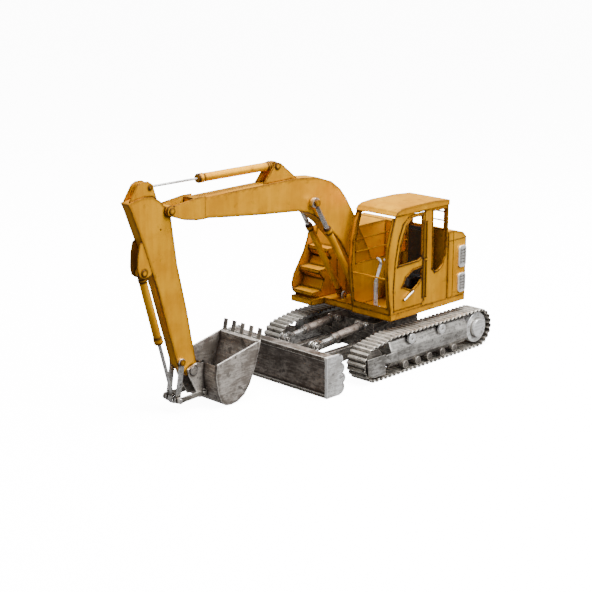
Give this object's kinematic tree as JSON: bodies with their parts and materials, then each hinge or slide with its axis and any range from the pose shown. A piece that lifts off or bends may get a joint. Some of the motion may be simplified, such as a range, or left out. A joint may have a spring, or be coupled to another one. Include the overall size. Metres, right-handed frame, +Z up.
{
  "type": "toy excavator",
  "caption": "Tracked toy excavator in sheet metal with dozer blade, slewing house, opening cab door and working boom, arm and bucket.",
  "frame": {"origin": "middle of the overall footprint, on the ground plane under the tracks", "axes": "+X forward to the bucket end, +Y to the cab side, +Z up"},
  "size_m": [0.464, 0.153, 0.2385],
  "materials": {
    "painted": "hand painted golden yellow over steel, edges rubbed dark brown",
    "raw_steel": "burnished raw steel, scratched and antiqued",
    "dark_iron": "dark antiqued steel",
    "bright_metal": "bright polished steel",
    "seat_black": "satin black painted sheet"
  },
  "bodies": {
    "undercarriage": {"chassis_frame": "dark_iron", "swing_ring": "dark_iron", "track_frame_left": "dark_iron", "track_frame_right": "dark_iron", "track_band_left": "raw_steel", "track_band_right": "raw_steel", "track_rollers_left": "dark_iron", "track_rollers_right": "dark_iron", "idler_guards_left": "dark_iron", "idler_guards_right": "dark_iron", "blade_hinge_pins": "bright_metal"},
    "blade": {"blade_plate": "raw_steel", "blade_cheeks": "raw_steel", "blade_arms": "dark_iron"},
    "house": {"turntable": "dark_iron", "deck": "painted", "cab_shell": "painted", "cab_roof": "painted", "window_rails": "painted", "seat": "seat_black", "control_levers": "bright_metal", "engine_cover": "painted", "side_lamps": "bright_metal", "side_tank": "painted", "step_box": "painted", "boom_foot": "dark_iron", "boom_foot_pin": "bright_metal"},
    "door": {"cab_door": "painted", "door_handle": "bright_metal"},
    "boom": {"boom_shell": "painted", "boom_nose": "painted", "boom_pins": "bright_metal", "arm_cylinder_bracket": "painted"},
    "arm": {"arm_shell": "painted", "arm_brackets": "painted"},
    "bucket": {"bucket_shell": "raw_steel", "bucket_teeth": "dark_iron"},
    "blade_barrel_left": {"blade_barrel_left": "raw_steel"},
    "blade_barrel_right": {"blade_barrel_right": "raw_steel"},
    "blade_rod_left": {"blade_rod_left": "bright_metal"},
    "blade_rod_right": {"blade_rod_right": "bright_metal"},
    "boom_barrel_left": {"boom_barrel_left": "painted"},
    "boom_barrel_right": {"boom_barrel_right": "painted"},
    "boom_rod_left": {"boom_rod_left": "bright_metal"},
    "boom_rod_right": {"boom_rod_right": "bright_metal"},
    "arm_barrel": {"arm_barrel": "painted"},
    "arm_rod": {"arm_rod": "bright_metal"},
    "bucket_barrel": {"bucket_barrel": "painted"},
    "bucket_rod": {"bucket_rod": "bright_metal"},
    "rocker": {"rocker": "bright_metal"},
    "bucket_link": {"bucket_link": "dark_iron"},
    "idler_left": {"idler_left": "dark_iron"},
    "idler_right": {"idler_right": "dark_iron"},
    "sprocket_left": {"sprocket_left": "bright_metal"},
    "sprocket_right": {"sprocket_right": "bright_metal"},
    "return_roller_front_left": {"return_roller_front_left": "bright_metal"},
    "return_roller_front_right": {"return_roller_front_right": "bright_metal"},
    "return_roller_rear_left": {"return_roller_rear_left": "bright_metal"},
    "return_roller_rear_right": {"return_roller_rear_right": "bright_metal"}
  },
  "joints": [
    {"name": "swing", "type": "hinge", "parent": "undercarriage", "child": "house", "pos_m": [-0.1165, 0, 0.0519], "axis": [0, 0, 1], "continuous": true},
    {"name": "blade_lift", "type": "hinge", "parent": "undercarriage", "child": "blade", "pos_m": [-0.0705, 0, 0.02], "axis": [0, -1, 0], "range_deg": [0, 14]},
    {"name": "blade_barrel_left_tilt", "type": "hinge", "parent": "undercarriage", "child": "blade_barrel_left", "pos_m": [-0.0685, 0.022, 0.0445], "axis": [0, -1, 0], "range_deg": [-0.2, 15.36]},
    {"name": "blade_rod_left_stroke", "type": "slide", "parent": "blade_barrel_left", "child": "blade_rod_left", "axis": [0.9959, 0, -0.09], "range_m": [-0.00656, 0.0006]},
    {"name": "blade_barrel_right_tilt", "type": "hinge", "parent": "undercarriage", "child": "blade_barrel_right", "pos_m": [-0.0685, -0.022, 0.0445], "axis": [0, -1, 0], "range_deg": [-0.2, 15.36]},
    {"name": "blade_rod_right_stroke", "type": "slide", "parent": "blade_barrel_right", "child": "blade_rod_right", "axis": [0.9959, 0, -0.09], "range_m": [-0.00656, 0.0006]},
    {"name": "boom_lift", "type": "hinge", "parent": "house", "child": "boom", "pos_m": [-0.1135, -0.0115, 0.074], "axis": [0, -1, 0], "range_deg": [-4, 24]},
    {"name": "boom_barrel_left_tilt", "type": "hinge", "parent": "house", "child": "boom_barrel_left", "pos_m": [-0.0845, 0.0025, 0.0685], "axis": [0, -1, 0], "range_deg": [-4.55, 26.3]},
    {"name": "boom_rod_left_stroke", "type": "slide", "parent": "boom_barrel_left", "child": "boom_rod_left", "axis": [0.5177, 0, 0.8556], "range_m": [-0.00261, 0.01268]},
    {"name": "boom_barrel_right_tilt", "type": "hinge", "parent": "house", "child": "boom_barrel_right", "pos_m": [-0.0845, -0.0255, 0.0685], "axis": [0, -1, 0], "range_deg": [-4.55, 26.3]},
    {"name": "boom_rod_right_stroke", "type": "slide", "parent": "boom_barrel_right", "child": "boom_rod_right", "axis": [0.5177, 0, 0.8556], "range_m": [-0.00261, 0.01268]},
    {"name": "arm_swing", "type": "hinge", "parent": "boom", "child": "arm", "pos_m": [0.183, -0.0115, 0.207], "axis": [0, -1, 0], "range_deg": [-4, 26]},
    {"name": "arm_barrel_tilt", "type": "hinge", "parent": "boom", "child": "arm_barrel", "pos_m": [0.0365, -0.0115, 0.232], "axis": [0, -1, 0], "range_deg": [-0.64, 3.03]},
    {"name": "arm_rod_stroke", "type": "slide", "parent": "arm_barrel", "child": "arm_rod", "axis": [1, 0, 0], "range_m": [-0.01333, 0.00256]},
    {"name": "bucket_curl", "type": "hinge", "parent": "arm", "child": "bucket", "pos_m": [0.1595, -0.0115, 0.0405], "axis": [0, -1, 0], "range_deg": [-4, 50]},
    {"name": "rocker_turn", "type": "hinge", "parent": "arm", "child": "rocker", "pos_m": [0.1715, -0.0115, 0.051], "axis": [0, -1, 0], "range_deg": [-3.39, 40.05]},
    {"name": "bucket_link_turn", "type": "hinge", "parent": "rocker", "child": "bucket_link", "pos_m": [0.178, -0.0115, 0.0135], "axis": [0, -1, 0], "range_deg": [-14.43, 1.34]},
    {"name": "bucket_barrel_tilt", "type": "hinge", "parent": "arm", "child": "bucket_barrel", "pos_m": [0.215, -0.0115, 0.1505], "axis": [0, -1, 0], "range_deg": [-0.9, 8.99]},
    {"name": "bucket_rod_stroke", "type": "slide", "parent": "bucket_barrel", "child": "bucket_rod", "axis": [-0.2607, 0, -0.9654], "range_m": [-0.01565, 0.0018]},
    {"name": "door_swing", "type": "hinge", "parent": "house", "child": "door", "pos_m": [-0.1248, 0.0648, 0.096], "axis": [0, 0, 1], "range_deg": [0, 80]},
    {"name": "sprocket_left_spin", "type": "hinge", "parent": "undercarriage", "child": "sprocket_left", "pos_m": [-0.2095, 0.06375, 0.0225], "axis": [0, 1, 0], "continuous": true},
    {"name": "idler_left_spin", "type": "hinge", "parent": "undercarriage", "child": "idler_left", "pos_m": [-0.0305, 0.06375, 0.02], "axis": [0, 1, 0], "continuous": true},
    {"name": "return_roller_front_left_spin", "type": "hinge", "parent": "undercarriage", "child": "return_roller_front_left", "pos_m": [-0.0905, 0.06375, 0.0357], "axis": [0, 1, 0], "continuous": true},
    {"name": "return_roller_rear_left_spin", "type": "hinge", "parent": "undercarriage", "child": "return_roller_rear_left", "pos_m": [-0.1425, 0.06375, 0.0357], "axis": [0, 1, 0], "continuous": true},
    {"name": "sprocket_right_spin", "type": "hinge", "parent": "undercarriage", "child": "sprocket_right", "pos_m": [-0.2095, -0.06375, 0.0225], "axis": [0, 1, 0], "continuous": true},
    {"name": "idler_right_spin", "type": "hinge", "parent": "undercarriage", "child": "idler_right", "pos_m": [-0.0305, -0.06375, 0.02], "axis": [0, 1, 0], "continuous": true},
    {"name": "return_roller_front_right_spin", "type": "hinge", "parent": "undercarriage", "child": "return_roller_front_right", "pos_m": [-0.0905, -0.06375, 0.0357], "axis": [0, 1, 0], "continuous": true},
    {"name": "return_roller_rear_right_spin", "type": "hinge", "parent": "undercarriage", "child": "return_roller_rear_right", "pos_m": [-0.1425, -0.06375, 0.0357], "axis": [0, 1, 0], "continuous": true}
  ],
  "couplings": [
    {"joint": "blade_barrel_left_tilt", "follows": "blade_lift", "ratio": 1.0311},
    {"joint": "blade_rod_left_stroke", "follows": "blade_lift", "m_per_rad": -0.02441},
    {"joint": "blade_barrel_right_tilt", "follows": "blade_lift", "ratio": 1.0311},
    {"joint": "blade_rod_right_stroke", "follows": "blade_lift", "m_per_rad": -0.02441},
    {"joint": "boom_barrel_left_tilt", "follows": "boom_lift", "ratio": 1.0358},
    {"joint": "boom_rod_left_stroke", "follows": "boom_lift", "m_per_rad": 0.02884},
    {"joint": "boom_barrel_right_tilt", "follows": "boom_lift", "ratio": 1.0358},
    {"joint": "boom_rod_right_stroke", "follows": "boom_lift", "m_per_rad": 0.02884},
    {"joint": "arm_barrel_tilt", "follows": "arm_swing", "ratio": 0.1038},
    {"joint": "arm_rod_stroke", "follows": "arm_swing", "m_per_rad": -0.02805},
    {"joint": "rocker_turn", "follows": "bucket_curl", "ratio": 0.759},
    {"joint": "bucket_link_turn", "follows": "bucket_curl", "ratio": -0.271},
    {"joint": "bucket_barrel_tilt", "follows": "bucket_curl", "ratio": 0.1674},
    {"joint": "bucket_rod_stroke", "follows": "bucket_curl", "m_per_rad": -0.01725},
    {"joint": "idler_left_spin", "follows": "sprocket_left_spin", "ratio": 1.1497},
    {"joint": "idler_right_spin", "follows": "sprocket_right_spin", "ratio": 1.1497}
  ]
}
